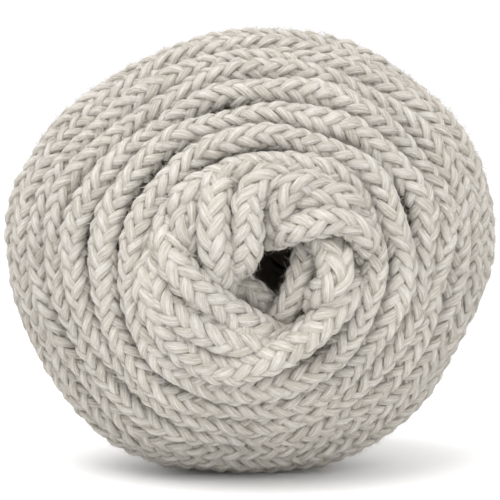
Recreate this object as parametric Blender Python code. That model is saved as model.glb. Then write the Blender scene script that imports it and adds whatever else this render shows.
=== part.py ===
"""Centre-pull ball of thick braided cotton macrame cord, lying on its side.

The cord is wound round the Y axis. The crown, where the strands dive into the centre hole,
faces -Y, X points right and Z up. The ball is one solid: a body that carries every turn as a
ridge, and the strands of both crowns laid over it and fused to it. It rests on a small flat
spot, and the origin is in the middle of its footprint.
"""

import math
from collections import namedtuple

import bmesh
import bpy
from mathutils import Vector

MM = 0.001

# Driving sizes, in millimetres

CORD_DIAMETER = 8.6
MEAN_RADIUS = 62.7
DOME_DEPTH = 50.0
DOME_POWER = 1.7
CROWN_SHARE = 0.45
DOME_STEPS = 400
SLOPE_STEP = 1.0
TURNS = 15
FIRST_ANGLE = 150.0
CENTRE_HEIGHT = 58.8
AXIS_X = 0.3
AXIS_Y = 0.25

# The surface of the body: each turn has a groove line and two crest lines, a share of a turn
# apart, and the grooves are pressed flat round the spot that the ball rests on

COLUMNS = 60
LINE_PHASES = (-0.5, -0.17, 0.17)
GROOVE_DEPTH = 2.8
COVER_TURNS = 0.6
REST_ANGLE = 267.0
REST_REACH = 17.0
REST_TURNS = 1.6

STRAND_STEP = 5.0
STRAND_BEVEL = 2
WELD = 0.00001

# How far the winding departs from round: waves round the ball, as shares of its radius

Wave = namedtuple("Wave", "count share angle")
OUTLINE_WAVES = (
    Wave(count=2, share=0.047, angle=12.5),
    Wave(count=3, share=0.013, angle=39.0),
    Wave(count=5, share=0.010, angle=23.0),
)

# Where turns bow sideways together, and where two neighbours part. Turn 0 is the innermost
# turn of the front crown, angles run anticlockwise from the right, shifts are in millimetres.

Sway = namedtuple("Sway", "angle turn shift reach turn_reach")
SWAYS = (
    Sway(angle=243.0, turn=0.8, shift=4.0, reach=48.0, turn_reach=1.3),
    Sway(angle=345.0, turn=0.5, shift=-2.6, reach=26.0, turn_reach=0.8),
    Sway(angle=177.0, turn=0.9, shift=-2.6, reach=22.0, turn_reach=0.8),
    Sway(angle=60.0, turn=4.0, shift=1.8, reach=40.0, turn_reach=2.5),
    Sway(angle=300.0, turn=6.0, shift=-1.6, reach=45.0, turn_reach=2.5),
    Sway(angle=130.0, turn=9.0, shift=2.0, reach=40.0, turn_reach=2.0),
    Sway(angle=20.0, turn=11.0, shift=-1.8, reach=50.0, turn_reach=2.0),
)

PARTING_SHARPNESS = 6.0
PARTING_TURNS = 1.4
Parting = namedtuple("Parting", "angle turn gap reach")
PARTINGS = (
    Parting(angle=300.0, turn=1.10, gap=3.6, reach=12.0),
    Parting(angle=206.0, turn=1.35, gap=3.0, reach=12.0),
    Parting(angle=22.0, turn=1.85, gap=3.0, reach=11.0),
    Parting(angle=68.0, turn=2.70, gap=2.6, reach=12.0),
    Parting(angle=352.0, turn=3.94, gap=2.8, reach=13.0),
    Parting(angle=168.0, turn=2.45, gap=2.4, reach=12.0),
    Parting(angle=120.0, turn=5.58, gap=2.2, reach=14.0),
    Parting(angle=250.0, turn=8.20, gap=2.8, reach=13.0),
    Parting(angle=100.0, turn=10.64, gap=3.0, reach=14.0),
    Parting(angle=330.0, turn=12.00, gap=3.0, reach=14.0),
    Parting(angle=200.0, turn=13.36, gap=3.0, reach=13.0),
)

# Where the first turns sink in below the strands of the crown, each by its drop in millimetres

Sink = namedtuple("Sink", "angle turn drop reach turn_reach")
SINKS = (
    Sink(angle=155.0, turn=0.0, drop=3.0, reach=13.0, turn_reach=0.4),
    Sink(angle=80.0, turn=0.18, drop=1.4, reach=25.0, turn_reach=0.45),
    Sink(angle=28.0, turn=0.32, drop=2.4, reach=22.0, turn_reach=0.45),
)

# The body below the crowns: a row for each level, from the bottom of the centre hole out to
# the first turn, and from the last turn in to the closed middle of the back

Level = namedtuple("Level", "turn radius depth")
FRONT_LEVELS = (
    Level(turn=-3.0, radius=6.5, depth=-2.0),
    Level(turn=-2.0, radius=9.3, depth=-17.0),
    Level(turn=-1.3, radius=9.5, depth=-37.0),
    Level(turn=-0.8, radius=13.0, depth=-44.4),
    Level(turn=-0.3, radius=22.0, depth=-45.6),
)
BACK_LEVELS = (
    Level(turn=0.3, radius=22.0, depth=44.5),
    Level(turn=1.0, radius=14.0, depth=44.0),
    Level(turn=2.0, radius=5.0, depth=40.0),
)
HOLE_BOTTOM = -2.0
BACK_MIDDLE = 40.0
HOLE_X = 3.6
HOLE_Z = -0.5
HOLE_REACH = 24.0

# The strands of the front crown, each with the places that its middle line passes: x and z
# from the winding axis, and the depth along it, which is negative in front of the ball's middle

Strand = namedtuple("Strand", "name diameter places")
CROWN_STRANDS = (
    Strand("ring_outer", 9.0, ((-24.0, 7.5, -37.5), (-27.5, -4.5, -42.0), (-21.5, -18.0, -43.5),
                               (-8.0, -25.5, -44.5), (8.0, -20.0, -46.0), (20.5, -9.5, -45.0),
                               (25.0, -2.5, -37.5))),
    Strand("ring_middle", 9.4, ((-26.0, 3.5, -38.5), (-22.8, -9.0, -44.5), (-12.3, -16.2, -46.4),
                                (-2.6, -19.0, -44.8), (5.0, -21.5, -39.0))),
    Strand("ring_inner", 9.6, ((-23.5, 11.0, -39.5), (-20.8, 1.0, -46.3), (-13.6, -6.7, -47.3),
                               (-8.3, -10.4, -46.3), (-2.3, -15.0, -44.0), (5.0, -18.5, -39.5))),
    Strand("leaf_hidden", 8.6, ((-14.0, 19.0, -39.0), (-18.5, 10.5, -44.5), (-17.0, 2.0, -42.0),
                                (-14.0, -4.0, -38.5))),
    Strand("leaf_left", 9.8, ((-7.5, 22.5, -35.0), (-10.0, 19.3, -43.6), (-11.4, 13.0, -47.3),
                              (-11.0, 5.5, -47.3), (-8.9, -2.5, -43.0), (-7.6, -8.0, -36.5))),
    Strand("leaf_top", 8.8, ((8.0, 20.5, -41.5), (1.5, 22.4, -46.5), (-2.9, 16.6, -48.2),
                             (-2.9, 9.5, -48.2), (-4.1, 2.0, -45.0), (-8.0, -2.6, -38.0))),
    Strand("leaf_top_right", 8.2, ((19.0, 17.8, -40.5), (13.5, 20.8, -45.5), (8.6, 20.8, -47.6),
                                   (5.4, 16.2, -47.0), (4.2, 11.5, -43.5), (2.6, 7.5, -38.0))),
    Strand("leaf_right", 8.6, ((25.0, 10.5, -40.5), (22.0, 16.4, -45.5), (16.0, 18.4, -46.3),
                               (10.5, 16.6, -45.0), (6.0, 12.5, -39.0))),
    Strand("leaf_over", 8.6, ((26.5, 1.0, -36.5), (26.0, 8.0, -45.0), (20.5, 12.0, -48.2),
                              (13.5, 11.6, -48.2), (8.0, 9.9, -46.4), (2.8, 7.2, -39.5))),
    Strand("leaf_under", 9.8, ((14.5, 9.0, -39.5), (18.0, 4.0, -44.2), (19.2, -1.2, -47.2),
                               (17.2, -5.6, -46.0), (14.0, -9.0, -39.0))),
    Strand("inner_right", 7.8, ((12.8, 6.5, -37.5), (11.9, 0.5, -39.5), (9.8, -5.0, -40.5),
                                (7.6, -9.8, -40.0), (5.2, -13.4, -37.5), (3.0, -16.5, -32.0))),
    Strand("inner_left", 7.8, ((-9.5, -2.0, -37.5), (-4.6, -4.6, -37.0), (0.2, -8.4, -35.5),
                               (4.6, -13.4, -31.0))),
)

# The back crown: like strands, evenly spaced, that spiral in and close the middle

BACK_STRANDS = 8
BACK_SWEEP = 95.0
BACK_OUTER_RADIUS = 26.0
BACK_INNER_RADIUS = 6.0
BACK_EDGE_DEPTH = 39.5
BACK_CREST_DEPTH = 48.0
BACK_CURL = 1.3
BACK_STEPS = 6

COTTON_COLOUR = (0.52, 0.48, 0.43, 1.0)
COTTON_ROUGHNESS = 0.9


def clear_scene():
    for old in list(bpy.data.objects):
        bpy.data.objects.remove(old, do_unlink=True)


def new_collection(name):
    collection = bpy.data.collections.new(name)
    bpy.context.scene.collection.children.link(collection)
    return collection


def cotton_material():
    material = bpy.data.materials.new("natural_cotton")
    material.use_nodes = True
    shader = material.node_tree.nodes["Principled BSDF"]
    shader.inputs["Base Color"].default_value = COTTON_COLOUR
    shader.inputs["Roughness"].default_value = COTTON_ROUGHNESS
    shader.inputs["Metallic"].default_value = 0.0
    return material


def bell(value, reach):
    return math.exp(-((value / reach) ** 2))


def angle_between(a, b):
    """The smallest turn from b to a, in degrees, from -180 to 180."""
    return (a - b + 180.0) % 360.0 - 180.0


def outline_share(angle):
    """How the ball's radius at this angle compares with its mean radius."""
    waves = (w.share * math.cos(math.radians(w.count * (angle - w.angle))) for w in OUTLINE_WAVES)
    return 1.0 + sum(waves)


def dome_curve(steps):
    """The middle line of the cords over the dome, front to back: (length, radius, depth)."""
    radius = MEAN_RADIUS - CORD_DIAMETER / 2
    edge = math.acos(CROWN_SHARE ** (DOME_POWER / 2))
    curve = []
    length = 0.0
    for step in range(steps + 1):
        angle = edge * (2 * step / steps - 1)
        rise = abs(math.sin(angle)) ** (2 / DOME_POWER)
        point = (radius * math.cos(angle) ** (2 / DOME_POWER),
                 math.copysign(DOME_DEPTH * rise, angle))
        if curve:
            length += math.dist(point, curve[-1][1:])
        curve.append((length, *point))
    return curve


DOME_CURVE = dome_curve(DOME_STEPS)
DOME_LENGTH = DOME_CURVE[-1][0]
PITCH = DOME_LENGTH / TURNS


def between(rows, value):
    """The row of numbers at value, read from rows sorted by their first number."""
    low = 0
    high = len(rows) - 1
    while high - low > 1:
        middle = (low + high) // 2
        if rows[middle][0] <= value:
            low = middle
        else:
            high = middle
    a = rows[low]
    b = rows[high]
    share = (value - a[0]) / (b[0] - a[0])
    share = min(max(share, 0.0), 1.0)
    return [p + (q - p) * share for p, q in zip(a[1:], b[1:])]


def shift_along(angle, turn):
    """How far the turn is pushed towards the back at this angle, in millimetres."""
    shift = 0.0
    for sway in SWAYS:
        near = bell(angle_between(angle, sway.angle), sway.reach)
        shift += sway.shift * near * bell(turn - sway.turn, sway.turn_reach)
    for parting in PARTINGS:
        away = turn - parting.turn
        near = bell(angle_between(angle, parting.angle), parting.reach)
        side = math.tanh(PARTING_SHARPNESS * away) * bell(away, PARTING_TURNS)
        shift += parting.gap / 2 * side * near
    return shift


def meridian(angle, turn):
    """Radius and depth of a turn's middle line, and the outward direction there as the same."""
    if turn < 0.0:
        start = DOME_CURVE[0][1:]
        rows = [tuple(level) for level in FRONT_LEVELS] + [(0.0, *start)]
        return (*between(rows, turn), 0.0, -1.0)
    if turn > TURNS:
        start = DOME_CURVE[-1][1:]
        rows = [(0.0, *start)] + [tuple(level) for level in BACK_LEVELS]
        return (*between(rows, turn - TURNS), 0.0, 1.0)
    edge_fade = min(turn, TURNS - turn, 1.0)
    length = turn * PITCH + shift_along(angle, turn) * edge_fade
    radius, depth = between(DOME_CURVE, length)
    before = between(DOME_CURVE, length - SLOPE_STEP)
    after = between(DOME_CURVE, length + SLOPE_STEP)
    run = (after[0] - before[0], after[1] - before[1])
    size = math.hypot(*run)
    return radius, depth, run[1] / size, -run[0] / size


def ball_point(angle, turn, proud):
    """A point at this angle and turn, proud of the turn's middle line, floor included."""
    radius, depth, out_radius, out_depth = meridian(angle, turn)
    radius = radius * outline_share(angle) + out_radius * proud
    depth += out_depth * proud
    off_centre = bell(radius, HOLE_REACH) if depth < 0.0 else 0.0
    x = radius * math.cos(math.radians(angle)) + HOLE_X * off_centre
    z = radius * math.sin(math.radians(angle)) + HOLE_Z * off_centre
    return Vector((x, depth, max(z + CENTRE_HEIGHT, 0.0)))


def groove_depth(angle, turn):
    """Grooves fade where the crowns cover the turns, and where the ball's weight flattens them."""
    if turn < 0.0 or turn > TURNS:
        return 0.0
    pressed = bell(angle_between(angle, REST_ANGLE), REST_REACH)
    pressed *= bell(turn - TURNS / 2, REST_TURNS)
    return GROOVE_DEPTH * (1.0 - pressed)


def sink_depth(angle, turn):
    """How far the turn lies below the level of its neighbours at this angle."""
    depth = 0.0
    for sink in SINKS:
        near = bell(angle_between(angle, sink.angle), sink.reach)
        depth += sink.drop * near * bell(turn - sink.turn, sink.turn_reach)
    return depth


def body_proud(angle, turn, line):
    """How far the body's surface stands proud of the turn's middle line."""
    covered = max(-turn, turn - TURNS, 0.0)
    top = CORD_DIAMETER / 2 * max(1.0 - covered / COVER_TURNS, 0.0) - sink_depth(angle, turn)
    return top - groove_depth(angle, turn) if line == 0 else top


def wound_body():
    """The ball's body: a strip of one groove line and two crest lines, wound in a spiral."""
    first = round((FRONT_LEVELS[0].turn + 0.5) * COLUMNS)
    last = round((TURNS + BACK_LEVELS[-1].turn - 0.5) * COLUMNS)
    mesh = bmesh.new()
    points = {}

    def place(column, line):
        angle = FIRST_ANGLE - 360.0 * column / COLUMNS
        turn = column / COLUMNS + LINE_PHASES[line]
        spot = ball_point(angle, turn, body_proud(angle, turn, line))
        points[column, line] = mesh.verts.new(spot * MM)

    for column in range(first, last + COLUMNS + 1):
        place(column, 0)
    for column in range(first, last + 1):
        for line in range(1, len(LINE_PHASES)):
            place(column, line)

    def corner(column, line):
        if line == len(LINE_PHASES):
            return points[column + COLUMNS, 0]
        return points[column, line]

    for column in range(first, last):
        for line in range(len(LINE_PHASES)):
            mesh.faces.new((corner(column, line), corner(column, line + 1),
                            corner(column + 1, line + 1), corner(column + 1, line)))
    for column, middle_depth in ((first, HOLE_BOTTOM), (last, BACK_MIDDLE)):
        close_end(mesh, points, column, middle_depth)
    bmesh.ops.recalc_face_normals(mesh, faces=mesh.faces)
    return mesh


def close_end(mesh, points, column, middle_depth):
    """Closes the open end of the spiral strip with a fan round one middle point."""
    rim = [points[step, 0] for step in range(column, column + COLUMNS + 1)]
    rim += [points[column, line] for line in reversed(range(1, len(LINE_PHASES)))]
    middle = sum((vert.co for vert in rim), Vector()) / len(rim)
    middle.y = middle_depth * MM
    centre = mesh.verts.new(middle)
    for a, b in zip(rim, rim[1:] + rim[:1]):
        mesh.faces.new((a, b, centre))


def smooth_route(places, step):
    """Points about a step apart on the smooth curve through the places."""
    spots = [Vector(place) for place in places]
    spots = [2 * spots[0] - spots[1], *spots, 2 * spots[-1] - spots[-2]]
    route = [spots[1]]
    for before, start, end, after in zip(spots, spots[1:], spots[2:], spots[3:]):
        pieces = max(round((end - start).length / step), 1)
        for piece in range(1, pieces + 1):
            t = piece / pieces
            route.append(0.5 * (2 * start + (end - before) * t
                                + (2 * before - 5 * start + 4 * end - after) * t ** 2
                                + (3 * start - before - 3 * end + after) * t ** 3))
    return route


def back_strand_places(number):
    """The places of one strand of the back crown: out at the rim, over the crest, in and down."""
    places = []
    for step in range(BACK_STEPS + 1):
        share = step / BACK_STEPS
        angle = math.radians(360.0 * number / BACK_STRANDS + BACK_SWEEP * share)
        radius = BACK_OUTER_RADIUS + (BACK_INNER_RADIUS - BACK_OUTER_RADIUS) * share ** BACK_CURL
        crest = math.sin(math.pi * share)
        depth = BACK_EDGE_DEPTH + (BACK_CREST_DEPTH - BACK_EDGE_DEPTH) * crest
        places.append((radius * math.cos(angle), radius * math.sin(angle), depth))
    return places


def tube(name, diameter, places, collection, parent):
    """A closed round tube through the places, as a mesh that can be fused to the body."""
    curve = bpy.data.curves.new(name, "CURVE")
    curve.dimensions = "3D"
    curve.bevel_depth = diameter / 2 * MM
    curve.bevel_resolution = STRAND_BEVEL
    curve.use_fill_caps = True
    spots = [Vector((x, depth, z + CENTRE_HEIGHT)) for x, z, depth in places]
    route = smooth_route(spots, STRAND_STEP)
    spline = curve.splines.new("POLY")
    spline.points.add(len(route) - 1)
    for point, spot in zip(spline.points, route):
        point.co = (*(spot * MM), 1.0)
    guide = bpy.data.objects.new(name + "_guide", curve)
    collection.objects.link(guide)
    bpy.context.view_layer.update()
    depsgraph = bpy.context.evaluated_depsgraph_get()
    solid = bpy.data.meshes.new_from_object(guide.evaluated_get(depsgraph))
    welded = bmesh.new()
    welded.from_mesh(solid)
    bmesh.ops.remove_doubles(welded, verts=welded.verts, dist=WELD)
    bmesh.ops.recalc_face_normals(welded, faces=welded.faces)
    welded.to_mesh(solid)
    welded.free()
    bpy.data.objects.remove(guide, do_unlink=True)
    strand = bpy.data.objects.new(name, solid)
    strand.parent = parent
    strand.hide_render = True
    strand.display_type = "WIRE"
    collection.objects.link(strand)
    return strand


def main():
    clear_scene()
    parts = new_collection("macrame_cord_ball")
    strands = new_collection("crown_strands")
    winding_axis = bpy.data.objects.new("winding_axis", None)
    winding_axis.location = (AXIS_X * MM, AXIS_Y * MM, 0.0)
    parts.objects.link(winding_axis)

    for strand in CROWN_STRANDS:
        tube(strand.name, strand.diameter, strand.places, strands, winding_axis)
    for number in range(BACK_STRANDS):
        places = back_strand_places(number)
        tube(f"back_leaf_{number + 1}", CORD_DIAMETER, places, strands, winding_axis)

    body = wound_body()
    mesh = bpy.data.meshes.new("wound_cord_ball")
    body.to_mesh(mesh)
    body.free()
    ball = bpy.data.objects.new("wound_cord_ball", mesh)
    ball.parent = winding_axis
    parts.objects.link(ball)
    mesh.materials.append(cotton_material())

    fuse = ball.modifiers.new("crown_strands", "BOOLEAN")
    fuse.operation = "UNION"
    fuse.operand_type = "COLLECTION"
    fuse.collection = strands
    fuse.solver = "EXACT"
    mesh.shade_smooth()


main()
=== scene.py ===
"""Looks of a centre-pull ball of thick braided cotton macrame cord.

The cord is drawn as its twelve plies, over and under each other, along the same route that the
solid ball was wound with. A deeper layer of plain turns and a closed core lie behind the gaps.
"""

import math
from collections import namedtuple

import bpy
import numpy as np
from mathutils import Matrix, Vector


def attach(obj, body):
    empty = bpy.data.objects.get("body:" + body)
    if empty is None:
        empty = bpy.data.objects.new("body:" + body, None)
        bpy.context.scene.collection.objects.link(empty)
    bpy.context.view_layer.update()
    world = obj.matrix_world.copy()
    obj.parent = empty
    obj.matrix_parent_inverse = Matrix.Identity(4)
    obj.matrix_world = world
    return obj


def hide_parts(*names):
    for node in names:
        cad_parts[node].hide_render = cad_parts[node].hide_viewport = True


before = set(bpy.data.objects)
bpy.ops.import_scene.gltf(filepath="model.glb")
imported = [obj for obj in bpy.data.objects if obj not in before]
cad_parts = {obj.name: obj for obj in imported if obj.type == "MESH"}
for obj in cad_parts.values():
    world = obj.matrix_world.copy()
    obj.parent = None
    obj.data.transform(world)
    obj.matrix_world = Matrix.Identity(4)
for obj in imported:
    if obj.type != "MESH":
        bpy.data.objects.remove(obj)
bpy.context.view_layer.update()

MM = 0.001
BALL = "wound_cord_ball"
BODY = "root"

# The ball's sizes, in millimetres, the same as those of the solid

CORD_DIAMETER = 8.6
MEAN_RADIUS = 62.7
DOME_DEPTH = 50.0
DOME_POWER = 1.7
CROWN_SHARE = 0.45
DOME_STEPS = 400
SLOPE_STEP = 1.0
TURNS = 15
FIRST_ANGLE = 150.0
CENTRE_HEIGHT = 58.8
AXIS = np.array((0.3, 0.25, 0.0))

Wave = namedtuple("Wave", "count share angle")
OUTLINE_WAVES = (
    Wave(count=2, share=0.047, angle=12.5),
    Wave(count=3, share=0.013, angle=39.0),
    Wave(count=5, share=0.010, angle=23.0),
)

# Where turns bow sideways together, and where two neighbours part, as on the solid

Sway = namedtuple("Sway", "angle turn shift reach turn_reach")
SWAYS = (
    Sway(angle=243.0, turn=0.8, shift=4.0, reach=48.0, turn_reach=1.3),
    Sway(angle=345.0, turn=0.5, shift=-2.6, reach=26.0, turn_reach=0.8),
    Sway(angle=177.0, turn=0.9, shift=-2.6, reach=22.0, turn_reach=0.8),
    Sway(angle=60.0, turn=4.0, shift=1.8, reach=40.0, turn_reach=2.5),
    Sway(angle=300.0, turn=6.0, shift=-1.6, reach=45.0, turn_reach=2.5),
    Sway(angle=130.0, turn=9.0, shift=2.0, reach=40.0, turn_reach=2.0),
    Sway(angle=20.0, turn=11.0, shift=-1.8, reach=50.0, turn_reach=2.0),
)

PARTING_SHARPNESS = 6.0
PARTING_TURNS = 1.4
Parting = namedtuple("Parting", "angle turn gap reach")
PARTINGS = (
    Parting(angle=300.0, turn=1.10, gap=3.6, reach=12.0),
    Parting(angle=206.0, turn=1.35, gap=3.0, reach=12.0),
    Parting(angle=22.0, turn=1.85, gap=3.0, reach=11.0),
    Parting(angle=68.0, turn=2.70, gap=2.6, reach=12.0),
    Parting(angle=352.0, turn=3.94, gap=2.8, reach=13.0),
    Parting(angle=168.0, turn=2.45, gap=2.4, reach=12.0),
    Parting(angle=120.0, turn=5.58, gap=2.2, reach=14.0),
    Parting(angle=250.0, turn=8.20, gap=2.8, reach=13.0),
    Parting(angle=100.0, turn=10.64, gap=3.0, reach=14.0),
    Parting(angle=330.0, turn=12.00, gap=3.0, reach=14.0),
    Parting(angle=200.0, turn=13.36, gap=3.0, reach=13.0),
)

# Where the first turns sink in below the strands of the crown

Sink = namedtuple("Sink", "angle turn drop reach turn_reach")
SINKS = (
    Sink(angle=155.0, turn=0.0, drop=3.0, reach=13.0, turn_reach=0.4),
    Sink(angle=80.0, turn=0.18, drop=1.4, reach=25.0, turn_reach=0.45),
    Sink(angle=28.0, turn=0.32, drop=2.4, reach=22.0, turn_reach=0.45),
)

# The closed surface below the crowns: a row for each level, from the bottom of the centre hole
# out to the first turn, and from the last turn in to the closed middle of the back

Level = namedtuple("Level", "turn radius depth")
FRONT_LEVELS = (
    Level(turn=-3.0, radius=6.5, depth=-2.0),
    Level(turn=-2.0, radius=9.3, depth=-17.0),
    Level(turn=-1.3, radius=9.5, depth=-37.0),
    Level(turn=-0.8, radius=13.0, depth=-44.4),
    Level(turn=-0.3, radius=22.0, depth=-45.6),
)
BACK_LEVELS = (
    Level(turn=0.3, radius=22.0, depth=44.5),
    Level(turn=1.0, radius=14.0, depth=44.0),
    Level(turn=2.0, radius=5.0, depth=40.0),
)
HOLE_BOTTOM = -2.0
BACK_MIDDLE = 40.0
HOLE_X = 3.6
HOLE_Z = -0.5
HOLE_REACH = 24.0

# The strands of the front crown: x and z from the winding axis, and the depth along it

Strand = namedtuple("Strand", "name diameter places")
CROWN_STRANDS = (
    Strand("ring_outer", 9.0, ((-24.0, 7.5, -37.5), (-27.5, -4.5, -42.0), (-21.5, -18.0, -43.5),
                               (-8.0, -25.5, -44.5), (8.0, -20.0, -46.0), (20.5, -9.5, -45.0),
                               (25.0, -2.5, -37.5))),
    Strand("ring_middle", 9.4, ((-26.0, 3.5, -38.5), (-22.8, -9.0, -44.5), (-12.3, -16.2, -46.4),
                                (-2.6, -19.0, -44.8), (5.0, -21.5, -39.0))),
    Strand("ring_inner", 9.6, ((-23.5, 11.0, -39.5), (-20.8, 1.0, -46.3), (-13.6, -6.7, -47.3),
                               (-8.3, -10.4, -46.3), (-2.3, -15.0, -44.0), (5.0, -18.5, -39.5))),
    Strand("leaf_hidden", 8.6, ((-14.0, 19.0, -39.0), (-18.5, 10.5, -44.5), (-17.0, 2.0, -42.0),
                                (-14.0, -4.0, -38.5))),
    Strand("leaf_left", 9.8, ((-7.5, 22.5, -35.0), (-10.0, 19.3, -43.6), (-11.4, 13.0, -47.3),
                              (-11.0, 5.5, -47.3), (-8.9, -2.5, -43.0), (-7.6, -8.0, -36.5))),
    Strand("leaf_top", 8.8, ((8.0, 20.5, -41.5), (1.5, 22.4, -46.5), (-2.9, 16.6, -48.2),
                             (-2.9, 9.5, -48.2), (-4.1, 2.0, -45.0), (-8.0, -2.6, -38.0))),
    Strand("leaf_top_right", 8.2, ((19.0, 17.8, -40.5), (13.5, 20.8, -45.5), (8.6, 20.8, -47.6),
                                   (5.4, 16.2, -47.0), (4.2, 11.5, -43.5), (2.6, 7.5, -38.0))),
    Strand("leaf_right", 8.6, ((25.0, 10.5, -40.5), (22.0, 16.4, -45.5), (16.0, 18.4, -46.3),
                               (10.5, 16.6, -45.0), (6.0, 12.5, -39.0))),
    Strand("leaf_over", 8.6, ((26.5, 1.0, -36.5), (26.0, 8.0, -45.0), (20.5, 12.0, -48.2),
                              (13.5, 11.6, -48.2), (8.0, 9.9, -46.4), (2.8, 7.2, -39.5))),
    Strand("leaf_under", 9.8, ((14.5, 9.0, -39.5), (18.0, 4.0, -44.2), (19.2, -1.2, -47.2),
                               (17.2, -5.6, -46.0), (14.0, -9.0, -39.0))),
    Strand("inner_right", 7.8, ((12.8, 6.5, -37.5), (11.9, 0.5, -39.5), (9.8, -5.0, -40.5),
                                (7.6, -9.8, -40.0), (5.2, -13.4, -37.5), (3.0, -16.5, -32.0))),
    Strand("inner_left", 7.8, ((-9.5, -2.0, -37.5), (-4.6, -4.6, -37.0), (0.2, -8.4, -35.5),
                               (4.6, -13.4, -31.0))),
)

# The back crown: like strands, evenly spaced, that spiral in and close the middle

BACK_STRANDS = 8
BACK_SWEEP = 95.0
BACK_OUTER_RADIUS = 26.0
BACK_INNER_RADIUS = 6.0
BACK_EDGE_DEPTH = 39.5
BACK_CREST_DEPTH = 48.0
BACK_CURL = 1.3
BACK_STEPS = 6

# The braid: twelve plies, six each way, that pass over two and under two. Over one lead a ply
# goes once round the cord. The sizes are those of a cord of CORD_DIAMETER.

LEAD = 27.0
LEAD_SAMPLES = 30
PLY_SIDES = 6
PLIES_EACH_WAY = 6
PLY_RADIUS = 2.90
PLY_WAVE = 0.40
PLY_WIDTH = 2.85
PLY_THICKNESS = 1.9
PLY_STRAY = 0.13
PLY_STRAY_LENGTHS = (8.0, 25.0)
PLY_LIFT = 0.18
PLY_LIFT_LENGTHS = (6.0, 20.0)
LOBE_SWELL = 0.22

# The round heart below the plies: it has a ring at every second sample, and its map places lie in the
# painted shade at the edge of the map

HEART_RADIUS = 3.0
HEART_SIDES = 8
HEART_STEP = 2
HEART_PAINTED_SHADE_MAP = 0.12

# Loose fibres on the surface of the plies: how many are scattered on each millimetre of cord,
# before the hidden ones are dropped, and their sizes

FIBRES = 52.0
FIBRE_SHORTEST = 0.7
FIBRE_LONGEST = 3.2
FIBRE_WIDTH = 0.13
FIBRE_LEAST_LIFT = 0.02
FIBRE_LIFT = 0.8
FIBRE_STRAY = 0.6
FIBRE_FIRST_TURN = 0.15 * math.pi
FIBRE_LAST_TURN = 0.85 * math.pi
FIBRE_MAP = 0.004
FIBRE_MAP_EDGE = 0.1

# How the cord lies: pressed narrower between its neighbours, a little uneven, slowly twisting

NARROWEST = 0.80
WIDEST = 1.02
TALLEST = 1.05
TOUCH = 0.95
STRAND_SHARE = 0.96
TWIST_LENGTH = 700.0
TWIST_A_STRAND = 0.7

# The wound cord leaves out the plies that face inwards, except on its first and last turns, and
# its two ends dive in below the crowns

HIDDEN_BELOW = -0.3
OPEN_TURNS = 1.4
COVERED_DROP = 3.6
COVERED_TURNS = 0.3
ROUTE_START = -0.75
ROUTE_END = TURNS + 0.75

# How finely the routes are worked out, and how many pieces the wound cord is cut into

ROUTE_FINENESS = 1440
STRAND_FINENESS = 60
SMOOTH_SAMPLES = 41
TURN_PIECES = 4

# Slow random waves, each with its size and the shortest and longest length of its waves

WAVES = 5
WAVES_SCALE = 3.0
UNEVEN_UP = 0.80
UNEVEN_UP_LENGTHS = (30.0, 90.0)
UNEVEN_SIDE = 1.0
UNEVEN_SIDE_LENGTHS = (25.0, 70.0)
UNEVEN_WIDTH = 0.05
UNEVEN_WIDTH_LENGTHS = (15.0, 60.0)
UNEVEN_STRAND_LENGTHS = (12.0, 40.0)
UNEVEN_TWIST = 0.7
UNEVEN_TWIST_LENGTHS = (60.0, 200.0)
UP_SEED = 3
WIDTH_SEED = 5
SIDE_SEED = 7
TWIST_SEED = 11
PLY_SEEDS = 100
LIFT_SEEDS = 50

# What lies below the cord: a layer of plain turns, and a closed core

UNDER_DROP = 7.2
UNDER_SAMPLES = 8
UNDER_SIDES = 8
UNDER_FINENESS = 720
CORE_DROP = 8.0
CORE_RIM_DROP = 2.5
CORE_RIM_TURNS = 1.5
CORE_COLUMNS = 90

# The least height of the cord above the floor

FLOOR_CLEAR = 0.2

# Camera, floor and light

CAMERA_DISTANCE = 0.70
CAMERA_AZIMUTH = -2.5
CAMERA_ELEVATION = 5.0
CAMERA_LENS = 188.5
CAMERA_TARGET = (0.0, 0.0, 0.0594)
FLOOR_REACH = 4.0
FLOOR_GREY = 0.965
FLOOR_ROUGHNESS = 0.9
FLOOR_SPECULAR = 0.1
SKY_STRENGTH = 1.04
Softbox = namedtuple("Softbox", "name place size power")
SOFTBOXES = (
    Softbox("softbox_above", (-0.25, -0.35, 0.95), 0.9, 9.0),
    Softbox("softbox_front", (0.3, -1.2, 0.5), 1.0, 6.0),
)

# The cotton: its light and deep tones, the painted shade between the plies, and its shaded tones

COTTON = (0.61, 0.59, 0.557)
COTTON_DEEP = (0.405, 0.365, 0.305)
COTTON_PAINTED_SHADE = (0.27, 0.225, 0.165)
SHADED_COTTON = (0.24, 0.21, 0.165)
SHADOWED_COTTON = (0.12, 0.10, 0.075)
COTTON_ROUGHNESS = 0.92
COTTON_SPECULAR = 0.15
COTTON_SHEEN = 0.12
COTTON_SHEEN_ROUGHNESS = 0.6

# The yarns along a ply, the painted shade on the edges between the plies, and broad patches of light and
# shade

YARN_RING = 0.35
YARNS_AROUND = 8.0
YARN_SLANT = 3.0
YARN_SCALE = 2.6
YARN_DETAIL = 5.0
YARN_NOISE_ROUGHNESS = 0.65
YARN_TONES = (0.37, 0.63)
YARN_BUMP = 0.8
YARN_BUMP_HEIGHT = 0.0010
PLY_TOP = 0.5
PAINTED_SHADE_SPAN = (0.14, 0.30)
PAINTED_SHADE_SHARE = 0.40
PATCH_SCALE = 45.0
PATCH_DETAIL = 2.0
PATCH_TONES = (0.3, 0.7)
PATCH_SHADES = (0.93, 1.05)


def bell(value, reach):
    return np.exp(-((value / reach) ** 2))


def angle_between(a, b):
    """The smallest turn from b to a, in degrees, from -180 to 180."""
    return (a - b + 180.0) % 360.0 - 180.0


def outline_share(angle):
    """How the ball's radius at these angles compares with its mean radius."""
    share = np.ones_like(angle)
    for wave in OUTLINE_WAVES:
        share += wave.share * np.cos(np.radians(wave.count * (angle - wave.angle)))
    return share


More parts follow.
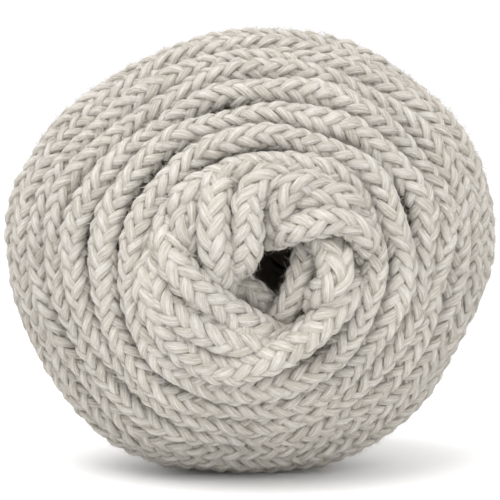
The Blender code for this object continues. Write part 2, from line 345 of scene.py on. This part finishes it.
def dome_curve(steps):
    """The middle line of the cords over the dome: arrays of length, radius and depth."""
    radius = MEAN_RADIUS - CORD_DIAMETER / 2
    edge = math.acos(CROWN_SHARE ** (DOME_POWER / 2))
    angle = edge * (2 * np.arange(steps + 1) / steps - 1)
    radii = radius * np.cos(angle) ** (2 / DOME_POWER)
    depths = np.sign(angle) * DOME_DEPTH * np.abs(np.sin(angle)) ** (2 / DOME_POWER)
    runs = np.hypot(np.diff(radii), np.diff(depths))
    return np.concatenate(((0.0,), np.cumsum(runs))), radii, depths


CURVE_LENGTH, CURVE_RADIUS, CURVE_DEPTH = dome_curve(DOME_STEPS)
PITCH = CURVE_LENGTH[-1] / TURNS


def shift_along(angle, turn):
    """How far the turns are pushed towards the back at these angles, in millimetres."""
    shift = np.zeros_like(angle)
    for sway in SWAYS:
        near = bell(angle_between(angle, sway.angle), sway.reach)
        shift += sway.shift * near * bell(turn - sway.turn, sway.turn_reach)
    for parting in PARTINGS:
        away = turn - parting.turn
        near = bell(angle_between(angle, parting.angle), parting.reach)
        side = np.tanh(PARTING_SHARPNESS * away) * bell(away, PARTING_TURNS)
        shift += parting.gap / 2 * side * near
    return shift


def meridian(angle, turn):
    """Radius and depth of the turns' middle line, and the outward direction there as the same."""
    edge_fade = np.clip(np.minimum(turn, TURNS - turn), 0.0, 1.0)
    length = np.clip(turn, 0, TURNS) * PITCH + shift_along(angle, turn) * edge_fade
    radius = np.interp(length, CURVE_LENGTH, CURVE_RADIUS)
    depth = np.interp(length, CURVE_LENGTH, CURVE_DEPTH)
    run_radius = (np.interp(length + SLOPE_STEP, CURVE_LENGTH, CURVE_RADIUS)
                  - np.interp(length - SLOPE_STEP, CURVE_LENGTH, CURVE_RADIUS))
    run_depth = (np.interp(length + SLOPE_STEP, CURVE_LENGTH, CURVE_DEPTH)
                 - np.interp(length - SLOPE_STEP, CURVE_LENGTH, CURVE_DEPTH))
    size = np.hypot(run_radius, run_depth)
    out_radius = run_depth / size
    out_depth = -run_radius / size
    front = [*FRONT_LEVELS, Level(0.0, CURVE_RADIUS[0], CURVE_DEPTH[0])]
    back = [Level(0.0, CURVE_RADIUS[-1], CURVE_DEPTH[-1]), *BACK_LEVELS]
    for levels, past, sign, place in ((front, turn < 0, -1.0, turn),
                                      (back, turn > TURNS, 1.0, turn - TURNS)):
        turns = [level.turn for level in levels]
        radius = np.where(past, np.interp(place, turns, [level.radius for level in levels]), radius)
        depth = np.where(past, np.interp(place, turns, [level.depth for level in levels]), depth)
        out_radius = np.where(past, 0.0, out_radius)
        out_depth = np.where(past, sign, out_depth)
    return radius, depth, out_radius, out_depth


def ball_points(angle, turn, proud):
    """Points at these angles and turns, proud of the turns' middle line, from the axis's foot."""
    radius, depth, out_radius, out_depth = meridian(angle, turn)
    radius = radius * outline_share(angle) + out_radius * proud
    depth = depth + out_depth * proud
    off_centre = np.where(depth < 0.0, bell(radius, HOLE_REACH), 0.0)
    x = radius * np.cos(np.radians(angle)) + HOLE_X * off_centre
    z = radius * np.sin(np.radians(angle)) + HOLE_Z * off_centre + CENTRE_HEIGHT
    return np.stack((x, depth, z), axis=1)


def unit(vectors):
    """The same directions, each with a length of one."""
    return vectors / np.linalg.norm(vectors, axis=-1, keepdims=True)


def lengths_along(points):
    """The length from the first point to each one."""
    runs = np.linalg.norm(np.diff(points, axis=0), axis=1)
    return np.concatenate(((0.0,), np.cumsum(runs)))


def uneven(length, seed, shortest, longest):
    """A slow random wave along the cord, mostly between -1 and 1."""
    random = np.random.default_rng(seed)
    wave = np.zeros_like(length)
    for _ in range(WAVES):
        wave += np.sin(2 * math.pi * length / random.uniform(shortest, longest)
                       + random.uniform(0.0, 2 * math.pi))
    return wave / WAVES_SCALE


def smooth(values, width):
    """The running mean of rows of three numbers, over this many rows."""
    kernel = np.ones(width) / width
    padded = np.concatenate((values[:1].repeat(width // 2, axis=0), values,
                             values[-1:].repeat(width - 1 - width // 2, axis=0)))
    return np.stack([np.convolve(padded[:, axis], kernel, "valid") for axis in range(3)], axis=1)


def directions(angle, turn, middle):
    """Outward and sideways directions along the turns, both square to the cord."""
    _, _, out_radius, out_depth = meridian(angle, turn)
    up = np.stack((out_radius * np.cos(np.radians(angle)), out_depth,
                   out_radius * np.sin(np.radians(angle))), axis=1)
    up = smooth(up, SMOOTH_SAMPLES)
    along = unit(np.gradient(middle, axis=0))
    side = unit(np.cross(along, up))
    return np.cross(side, along), side


Route = namedtuple("Route", "length middle up side wide tall open_under")


def wound_route():
    """The one cord that winds over the dome, from the front crown to the back one."""
    fine = np.linspace(ROUTE_START, ROUTE_END, int((ROUTE_END - ROUTE_START) * ROUTE_FINENESS))
    length = lengths_along(ball_points(FIRST_ANGLE - 360.0 * fine, fine, np.zeros_like(fine)))
    step = LEAD / LEAD_SAMPLES
    samples = np.arange(0.0, length[-1], step)
    turn = np.interp(samples, length, fine)
    angle = FIRST_ANGLE - 360.0 * turn
    covered = np.clip(np.maximum(-turn, turn - TURNS) / COVERED_TURNS, 0.0, 1.0)
    proud = UNEVEN_UP * uneven(samples, UP_SEED, *UNEVEN_UP_LENGTHS) - COVERED_DROP * covered
    for sink in SINKS:
        near = bell(angle_between(angle, sink.angle), sink.reach)
        proud -= sink.drop * near * bell(turn - sink.turn, sink.turn_reach)
    middle = ball_points(angle, turn, proud)
    inner = ball_points(angle, turn - 0.5, proud)
    outer = ball_points(angle, turn + 0.5, proud)
    room = np.linalg.norm(outer - inner, axis=1)
    up, side = directions(angle, turn, middle)
    aside = UNEVEN_SIDE * uneven(samples, SIDE_SEED, *UNEVEN_SIDE_LENGTHS)
    middle = middle + side * aside[:, None]
    wide = np.clip(room * TOUCH / CORD_DIAMETER, NARROWEST, WIDEST)
    wide *= 1.0 + UNEVEN_WIDTH * uneven(samples, WIDTH_SEED, *UNEVEN_WIDTH_LENGTHS)
    tall = np.clip(1.0 / wide, 1.0, TALLEST)
    open_under = (turn < OPEN_TURNS) | (turn > TURNS - OPEN_TURNS)
    return Route(samples, middle, up, side, wide, tall, open_under)


def strand_route(places, diameter, seed):
    """A strand of a crown, along the smooth curve through its places."""
    spots = [np.array((x, depth, z + CENTRE_HEIGHT)) for x, z, depth in places]
    spots = [2 * spots[0] - spots[1], *spots, 2 * spots[-1] - spots[-2]]
    fine = []
    share = np.linspace(0.0, 1.0, STRAND_FINENESS, endpoint=False)[:, None]
    for before, start, end, after in zip(spots, spots[1:], spots[2:], spots[3:]):
        fine.append(0.5 * (2 * start + (end - before) * share
                           + (2 * before - 5 * start + 4 * end - after) * share ** 2
                           + (3 * start - before - 3 * end + after) * share ** 3))
    fine = np.concatenate((*fine, spots[-2][None]))
    length = lengths_along(fine)
    samples = np.arange(0.0, length[-1], LEAD / LEAD_SAMPLES)
    middle = np.stack([np.interp(samples, length, fine[:, axis]) for axis in range(3)], axis=1)
    along = unit(np.gradient(middle, axis=0))
    outward = math.copysign(1.0, middle[:, 1].mean())
    up = np.empty_like(middle)
    half = len(samples) // 2
    up[half] = (0.0, outward, 0.0)
    for order in (range(half, len(samples)), range(half, -1, -1)):
        last = up[half]
        for index in order:
            last = last - along[index] * last.dot(along[index])
            last = last / np.linalg.norm(last)
            up[index] = last
    side = np.cross(along, up)
    thick = STRAND_SHARE * diameter / CORD_DIAMETER
    thick = thick * (1.0 + UNEVEN_WIDTH * uneven(samples, seed, *UNEVEN_STRAND_LENGTHS))
    everywhere = np.ones(len(samples), bool)
    return Route(samples, middle, up, side, thick, thick, everywhere)


def back_strand_places(number):
    """The places of one strand of the back crown: out at the rim, over the crest, in and down."""
    places = []
    for step in range(BACK_STEPS + 1):
        share = step / BACK_STEPS
        angle = math.radians(360.0 * number / BACK_STRANDS + BACK_SWEEP * share)
        radius = BACK_OUTER_RADIUS + (BACK_INNER_RADIUS - BACK_OUTER_RADIUS) * share ** BACK_CURL
        depth = BACK_EDGE_DEPTH + (BACK_CREST_DEPTH - BACK_EDGE_DEPTH) * math.sin(math.pi * share)
        places.append((radius * math.cos(angle), radius * math.sin(angle), depth))
    return places


Ply = namedtuple("Ply", "centre along across out half_width half_thick around")


def plies(route, seed):
    """The plies of a cord: each one's middle line, the directions and sizes of its section."""
    step = 2 * math.pi / LEAD
    twist = (2 * math.pi * route.length / TWIST_LENGTH + TWIST_A_STRAND * seed
             + UNEVEN_TWIST * uneven(route.length, TWIST_SEED, *UNEVEN_TWIST_LENGTHS))
    made = []
    for number in range(2 * PLIES_EACH_WAY):
        way = 1 if number < PLIES_EACH_WAY else -1
        ply_seed = PLY_SEEDS * (seed + 1) + number
        over = way * np.cos(PLIES_EACH_WAY / 2 * step * route.length
                            + math.pi * (number - way / 4))
        around = (way * step * route.length + 2 * math.pi * number / PLIES_EACH_WAY + twist
                  + PLY_STRAY * uneven(route.length, ply_seed, *PLY_STRAY_LENGTHS))
        lift = PLY_LIFT * uneven(route.length, ply_seed + LIFT_SEEDS, *PLY_LIFT_LENGTHS)
        reach = PLY_RADIUS + PLY_WAVE * over + lift
        out = route.up * np.cos(around)[:, None] + route.side * np.sin(around)[:, None]
        centre = (route.middle
                  + route.up * (route.tall * reach * np.cos(around))[:, None]
                  + route.side * (route.wide * reach * np.sin(around))[:, None])
        along = unit(np.gradient(centre, axis=0))
        across = unit(np.cross(along, out))
        out = np.cross(across, along)
        swell = (1.0 + LOBE_SWELL * over) * route.wide
        made.append(Ply(centre, along, across, out, PLY_WIDTH / 2 * swell,
                        PLY_THICKNESS / 2 * swell, around))
    return made


def strip(loops, rows, samples_a_lead, first=0):
    """Quads between rings of points one after the other, and their places on the map."""
    sides = loops.shape[1]
    row, side = np.meshgrid(rows, np.arange(sides), indexing="ij")
    after = (side + 1) % sides
    quads = np.stack((row * sides + side, row * sides + after,
                      (row + 1) * sides + after, (row + 1) * sides + side), axis=2)
    start = ((row + first) % samples_a_lead) / samples_a_lead
    end = start + 1.0 / samples_a_lead
    low = side / sides
    high = low + 1.0 / sides
    places = np.stack((np.stack((start, low), 2), np.stack((start, high), 2),
                       np.stack((end, high), 2), np.stack((end, low), 2)), axis=2)
    return loops.reshape(-1, 3), quads.reshape(-1, 4), places.reshape(-1, 2)


def joined(parts):
    """Several meshes as one: their points, faces and map places one after the other."""
    count = 0
    faces = []
    for points, some_faces, _ in parts:
        faces.append(some_faces + count)
        count += len(points)
    return (np.concatenate([part[0] for part in parts]), np.concatenate(faces),
            np.concatenate([part[2] for part in parts]))


def braid(route, made, first=0, last=None):
    """The plies of a cord between two of its samples, and the round heart that they lie on."""
    last = len(route.length) - 1 if last is None else last
    part = slice(first, last + 1)
    ring = 2 * math.pi * (np.arange(PLY_SIDES) / PLY_SIDES) - math.pi / 2
    meshes = []
    for ply in made:
        loops = (ply.centre[:, None, :]
                 + ply.across[:, None, :] * (ply.half_width[:, None] * np.cos(ring))[:, :, None]
                 + ply.out[:, None, :] * (ply.half_thick[:, None] * np.sin(ring))[:, :, None])
        shown = (np.cos(ply.around) > HIDDEN_BELOW) | route.open_under
        shown = shown[part]
        rows = np.nonzero(shown[:-1] | shown[1:])[0]
        meshes.append(strip(loops[part], rows, LEAD_SAMPLES, first))
    ring = 2 * math.pi * np.arange(HEART_SIDES) / HEART_SIDES
    row = np.arange(first, last + 1, HEART_STEP)
    loops = (route.middle[row, None, :]
             + route.up[row, None, :] * (HEART_RADIUS * route.tall[row, None] * np.cos(ring))[:, :, None]
             + route.side[row, None, :] * (HEART_RADIUS * route.wide[row, None] * np.sin(ring))[:, :, None])
    points, faces, places = strip(loops, np.arange(len(row) - 1), LEAD_SAMPLES // HEART_STEP)
    # The heart's map places lie where the painted shade of the map is darkest
    meshes.append((points, faces, places * (1.0, HEART_PAINTED_SHADE_MAP)))
    return joined(meshes)


def fibres(route, made, seed):
    """Loose fibres, each a long thin triangle that lies nearly along its ply."""
    random = np.random.default_rng(seed)
    count = int(FIBRES * route.length[-1])
    row = random.integers(1, len(route.length) - 1, count)
    which = random.integers(0, len(made), count)
    centre, along, across, out = (np.stack([getattr(ply, name) for ply in made])[which, row]
                                  for name in ("centre", "along", "across", "out"))
    wide, thick, around = (np.stack([getattr(ply, name) for ply in made])[which, row]
                           for name in ("half_width", "half_thick", "around"))
    turned = random.uniform(FIBRE_FIRST_TURN, FIBRE_LAST_TURN, count)
    cosine = np.cos(turned)
    sine = np.sin(turned)
    foot = centre + across * (wide * cosine)[:, None] + out * (thick * sine)[:, None]
    normal = unit(across * (cosine / wide)[:, None] + out * (sine / thick)[:, None])
    way = random.choice((-1.0, 1.0), count)[:, None]
    lift = random.uniform(FIBRE_LEAST_LIFT, FIBRE_LIFT, count)[:, None]
    stray = random.uniform(-FIBRE_STRAY, FIBRE_STRAY, count)[:, None]
    ahead = unit(along * way + normal * lift + across * stray)
    sideways = unit(np.cross(ahead, normal))
    length = random.uniform(FIBRE_SHORTEST, FIBRE_LONGEST, count)[:, None]
    points = np.stack((foot - sideways * FIBRE_WIDTH / 2, foot + sideways * FIBRE_WIDTH / 2,
                       foot + ahead * length), axis=1)
    corner = random.uniform(FIBRE_MAP_EDGE, 1.0 - FIBRE_MAP_EDGE, (count, 2))
    places = np.stack((corner, corner + (FIBRE_MAP, 0.0), corner + (0.0, FIBRE_MAP)), axis=1)
    seen = (np.cos(around) > 0.0) | route.open_under[row]
    points = points[seen].reshape(-1, 3)
    return points, np.arange(len(points)).reshape(-1, 3), places[seen].reshape(-1, 2)


def under_turns():
    """Plain round turns, half a turn on and one layer down, that show where the top ones part."""
    fine = np.linspace(0.5, TURNS - 0.5, TURNS * UNDER_FINENESS)
    angle = FIRST_ANGLE - 360.0 * fine + 180.0
    length = lengths_along(ball_points(angle, fine, np.full_like(fine, -UNDER_DROP)))
    turn = np.interp(np.arange(0.0, length[-1], LEAD / UNDER_SAMPLES), length, fine)
    angle = FIRST_ANGLE - 360.0 * turn + 180.0
    middle = ball_points(angle, turn, np.full_like(turn, -UNDER_DROP))
    up, side = directions(angle, turn, middle)
    ring = 2 * math.pi * np.arange(UNDER_SIDES) / UNDER_SIDES
    radius = CORD_DIAMETER / 2
    loops = (middle[:, None, :] + up[:, None, :] * (radius * np.cos(ring))[None, :, None]
             + side[:, None, :] * (radius * np.sin(ring))[None, :, None])
    return strip(loops, np.arange(len(middle) - 1), UNDER_SAMPLES)


def core():
    """The closed surface below every turn, with the dark funnel of the centre hole."""
    first = round((FRONT_LEVELS[0].turn + 0.5) * CORE_COLUMNS)
    last = round((TURNS + BACK_LEVELS[-1].turn - 0.5) * CORE_COLUMNS)
    column = np.arange(first, last + CORE_COLUMNS + 1)
    angle = FIRST_ANGLE - 360.0 * column / CORE_COLUMNS
    turn = column / CORE_COLUMNS - 0.5
    inside = np.clip(np.minimum(turn, TURNS - turn) / CORE_RIM_TURNS, 0.0, 1.0)
    proud = -CORE_RIM_DROP - (CORE_DROP - CORE_RIM_DROP) * inside
    points = ball_points(angle, turn, proud)
    quads = [(k, k + CORE_COLUMNS, k + CORE_COLUMNS + 1, k + 1) for k in range(last - first)]
    front = points[:CORE_COLUMNS + 1].mean(axis=0)
    front[1] = HOLE_BOTTOM
    back = points[-CORE_COLUMNS - 1:].mean(axis=0)
    back[1] = BACK_MIDDLE
    count = len(points)
    points = np.concatenate((points, front[None], back[None]))
    fans = [(k, k + 1, count) for k in range(CORE_COLUMNS)]
    fans += [(k + 1, k, count + 1) for k in range(count - CORE_COLUMNS - 1, count - 1)]
    return points, quads + fans


def cotton_material(name, light, deep, painted_shade_between_plies):
    """Soft undyed cotton: fine yarns along each ply, with painted shade that darkens it between them."""
    material = bpy.data.materials.new(name)
    material.use_nodes = True
    nodes = material.node_tree.nodes
    links = material.node_tree.links
    shader = nodes["Principled BSDF"]
    shader.inputs["Roughness"].default_value = COTTON_ROUGHNESS
    shader.inputs["Metallic"].default_value = 0.0
    shader.inputs["Specular IOR Level"].default_value = COTTON_SPECULAR
    shader.inputs["Sheen Weight"].default_value = COTTON_SHEEN
    shader.inputs["Sheen Roughness"].default_value = COTTON_SHEEN_ROUGHNESS

    def node(kind, **settings):
        made = nodes.new(kind)
        for key, value in settings.items():
            setattr(made, key, value)
        return made

    def maths(operation, a, b=None):
        made = node("ShaderNodeMath", operation=operation)
        for socket, value in zip(made.inputs, (a, b)):
            if value is None:
                continue
            if isinstance(value, (int, float)):
                socket.default_value = value
            else:
                links.new(value, socket)
        return made.outputs[0]

    uv = node("ShaderNodeUVMap", uv_map="OFBake")
    split = node("ShaderNodeSeparateXYZ")
    links.new(uv.outputs[0], split.inputs[0])
    along, around = split.outputs[0], split.outputs[1]
    turned = maths("MULTIPLY", along, 2 * math.pi)
    cosine = maths("COSINE", turned)
    sine = maths("SINE", turned)
    fine = node("ShaderNodeCombineXYZ")
    links.new(maths("MULTIPLY", cosine, YARN_RING), fine.inputs[0])
    links.new(maths("MULTIPLY", sine, YARN_RING), fine.inputs[1])
    slanted = maths("ADD", maths("MULTIPLY", around, YARNS_AROUND), maths("MULTIPLY", along, YARN_SLANT))
    links.new(slanted, fine.inputs[2])
    strands = node("ShaderNodeTexNoise")
    strands.inputs["Scale"].default_value = YARN_SCALE
    strands.inputs["Detail"].default_value = YARN_DETAIL
    strands.inputs["Roughness"].default_value = YARN_NOISE_ROUGHNESS
    links.new(fine.outputs[0], strands.inputs["Vector"])

    place = node("ShaderNodeTexCoord")
    broad = node("ShaderNodeTexNoise")
    broad.inputs["Scale"].default_value = PATCH_SCALE
    broad.inputs["Detail"].default_value = PATCH_DETAIL
    links.new(place.outputs["Object"], broad.inputs["Vector"])

    tone = node("ShaderNodeMapRange")
    tone.inputs["From Min"].default_value = YARN_TONES[0]
    tone.inputs["From Max"].default_value = YARN_TONES[1]
    links.new(strands.outputs[0], tone.inputs[0])
    colour = node("ShaderNodeMix", data_type="RGBA")
    colour.inputs["A"].default_value = (*deep, 1.0)
    colour.inputs["B"].default_value = (*light, 1.0)
    links.new(tone.outputs[0], colour.inputs["Factor"])
    # Painted shade: away from each ply's top line on the map, towards its sides and underside, the colour
    # darkens to the painted shade between the plies
    edge = node("ShaderNodeMapRange", interpolation_type="SMOOTHSTEP")
    edge.inputs["From Min"].default_value = PAINTED_SHADE_SPAN[0]
    edge.inputs["From Max"].default_value = PAINTED_SHADE_SPAN[1]
    edge.inputs["To Max"].default_value = PAINTED_SHADE_SHARE
    links.new(maths("ABSOLUTE", maths("SUBTRACT", around, PLY_TOP)), edge.inputs[0])
    painted_shade_mix = node("ShaderNodeMix", data_type="RGBA")
    painted_shade_mix.inputs["B"].default_value = (*painted_shade_between_plies, 1.0)
    links.new(edge.outputs[0], painted_shade_mix.inputs["Factor"])
    links.new(colour.outputs["Result"], painted_shade_mix.inputs["A"])
    patch = node("ShaderNodeMapRange")
    patch.inputs["From Min"].default_value = PATCH_TONES[0]
    patch.inputs["From Max"].default_value = PATCH_TONES[1]
    patch.inputs["To Min"].default_value = PATCH_SHADES[0]
    patch.inputs["To Max"].default_value = PATCH_SHADES[1]
    links.new(broad.outputs[0], patch.inputs[0])
    shade = node("ShaderNodeVectorMath", operation="SCALE")
    links.new(painted_shade_mix.outputs["Result"], shade.inputs[0])
    links.new(patch.outputs[0], shade.inputs["Scale"])
    links.new(shade.outputs[0], shader.inputs["Base Color"])

    bump = node("ShaderNodeBump")
    bump.inputs["Strength"].default_value = YARN_BUMP
    bump.inputs["Distance"].default_value = YARN_BUMP_HEIGHT
    links.new(strands.outputs[0], bump.inputs["Height"])
    links.new(bump.outputs[0], shader.inputs["Normal"])
    return material


def add_piece(name, points, faces, places, material):
    """One mesh of the visual model, on the body and in place of the solid."""
    points = points + AXIS
    points[:, 2] = np.maximum(points[:, 2], FLOOR_CLEAR)
    mesh = bpy.data.meshes.new(name)
    faces = faces.tolist() if isinstance(faces, np.ndarray) else faces
    mesh.from_pydata((points * MM).tolist(), [], faces)
    if places is not None:
        uv = mesh.uv_layers.new(name="OFBake")
        uv.data.foreach_set("uv", places.astype(np.float32).ravel())
    mesh.materials.append(material)
    mesh.shade_smooth()
    piece = bpy.data.objects.new(name, mesh)
    bpy.context.scene.collection.objects.link(piece)
    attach(piece, BODY)
    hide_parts(BALL)


def add_ball():
    """The wound turns, the strands of both crowns, their loose fibres and what lies below."""
    cotton = cotton_material("natural_cotton", COTTON, COTTON_DEEP, COTTON_PAINTED_SHADE)
    shaded = cotton_material("shaded_cotton", SHADED_COTTON, SHADED_COTTON, SHADED_COTTON)
    shadowed = cotton_material("shadowed_cotton", SHADOWED_COTTON, SHADOWED_COTTON, SHADOWED_COTTON)
    loose = []
    route = wound_route()
    made = plies(route, 0)
    loose.append(fibres(route, made, 1))
    cuts = np.linspace(0, len(route.length) - 1, TURN_PIECES + 1) // HEART_STEP * HEART_STEP
    cuts = cuts.astype(int)
    for number, (start, end) in enumerate(zip(cuts, cuts[1:])):
        add_piece(f"wound_turns_{number + 1}", *braid(route, made, start, end), cotton)
    front = [strand_route(strand.places, strand.diameter, number)
             for number, strand in enumerate(CROWN_STRANDS)]
    back = [strand_route(back_strand_places(number), CORD_DIAMETER, number)
            for number in range(BACK_STRANDS)]
    for name, routes in (("front_crown_strands", front), ("back_crown_strands", back)):
        meshes = []
        for number, route in enumerate(routes):
            made = plies(route, number + 1)
            meshes.append(braid(route, made))
            loose.append(fibres(route, made, 2 + number))
        add_piece(name, *joined(meshes), cotton)
    add_piece("loose_fibres", *joined(loose), cotton)
    add_piece("under_turns", *under_turns(), shaded)
    add_piece("core", *core(), None, shadowed)


def add_floor():
    """A pale floor that runs far past the ball on every side."""
    mesh = bpy.data.meshes.new("floor")
    corners = [(x * FLOOR_REACH, y * FLOOR_REACH, 0.0) for x, y in ((-1, -1), (1, -1), (1, 1), (-1, 1))]
    mesh.from_pydata(corners, [], [(0, 1, 2, 3)])
    material = bpy.data.materials.new("pale_floor")
    material.use_nodes = True
    shader = material.node_tree.nodes["Principled BSDF"]
    shader.inputs["Base Color"].default_value = (FLOOR_GREY, FLOOR_GREY, FLOOR_GREY, 1.0)
    shader.inputs["Roughness"].default_value = FLOOR_ROUGHNESS
    shader.inputs["Specular IOR Level"].default_value = FLOOR_SPECULAR
    mesh.materials.append(material)
    floor = bpy.data.objects.new("floor", mesh)
    bpy.context.scene.collection.objects.link(floor)


def add_lights():
    """An even white sky and two softboxes, one above and one in front."""
    world = bpy.data.worlds.new("studio")
    bpy.context.scene.world = world
    world.use_nodes = True
    sky = world.node_tree.nodes["Background"]
    sky.inputs["Color"].default_value = (1.0, 1.0, 1.0, 1.0)
    sky.inputs["Strength"].default_value = SKY_STRENGTH
    for softbox in SOFTBOXES:
        light = bpy.data.lights.new(softbox.name, "AREA")
        light.size = softbox.size
        light.energy = softbox.power
        lamp = bpy.data.objects.new(softbox.name, light)
        lamp.location = softbox.place
        aim = Vector(CAMERA_TARGET) - lamp.location
        lamp.rotation_euler = aim.to_track_quat("-Z", "Y").to_euler()
        bpy.context.scene.collection.objects.link(lamp)


def add_camera():
    """A camera that looks nearly along the winding axis, at the front crown."""
    azimuth = math.radians(CAMERA_AZIMUTH)
    elevation = math.radians(CAMERA_ELEVATION)
    back = Vector((math.sin(azimuth) * math.cos(elevation),
                   -math.cos(azimuth) * math.cos(elevation), math.sin(elevation)))
    camera = bpy.data.objects.new("camera", bpy.data.cameras.new("camera"))
    camera.data.lens = CAMERA_LENS
    camera.location = Vector(CAMERA_TARGET) + back * CAMERA_DISTANCE
    camera.rotation_euler = (-back).to_track_quat("-Z", "Y").to_euler()
    bpy.context.scene.collection.objects.link(camera)
    bpy.context.scene.camera = camera


add_ball()
add_floor()
add_lights()
add_camera()
bpy.context.scene.view_settings.view_transform = "Standard"
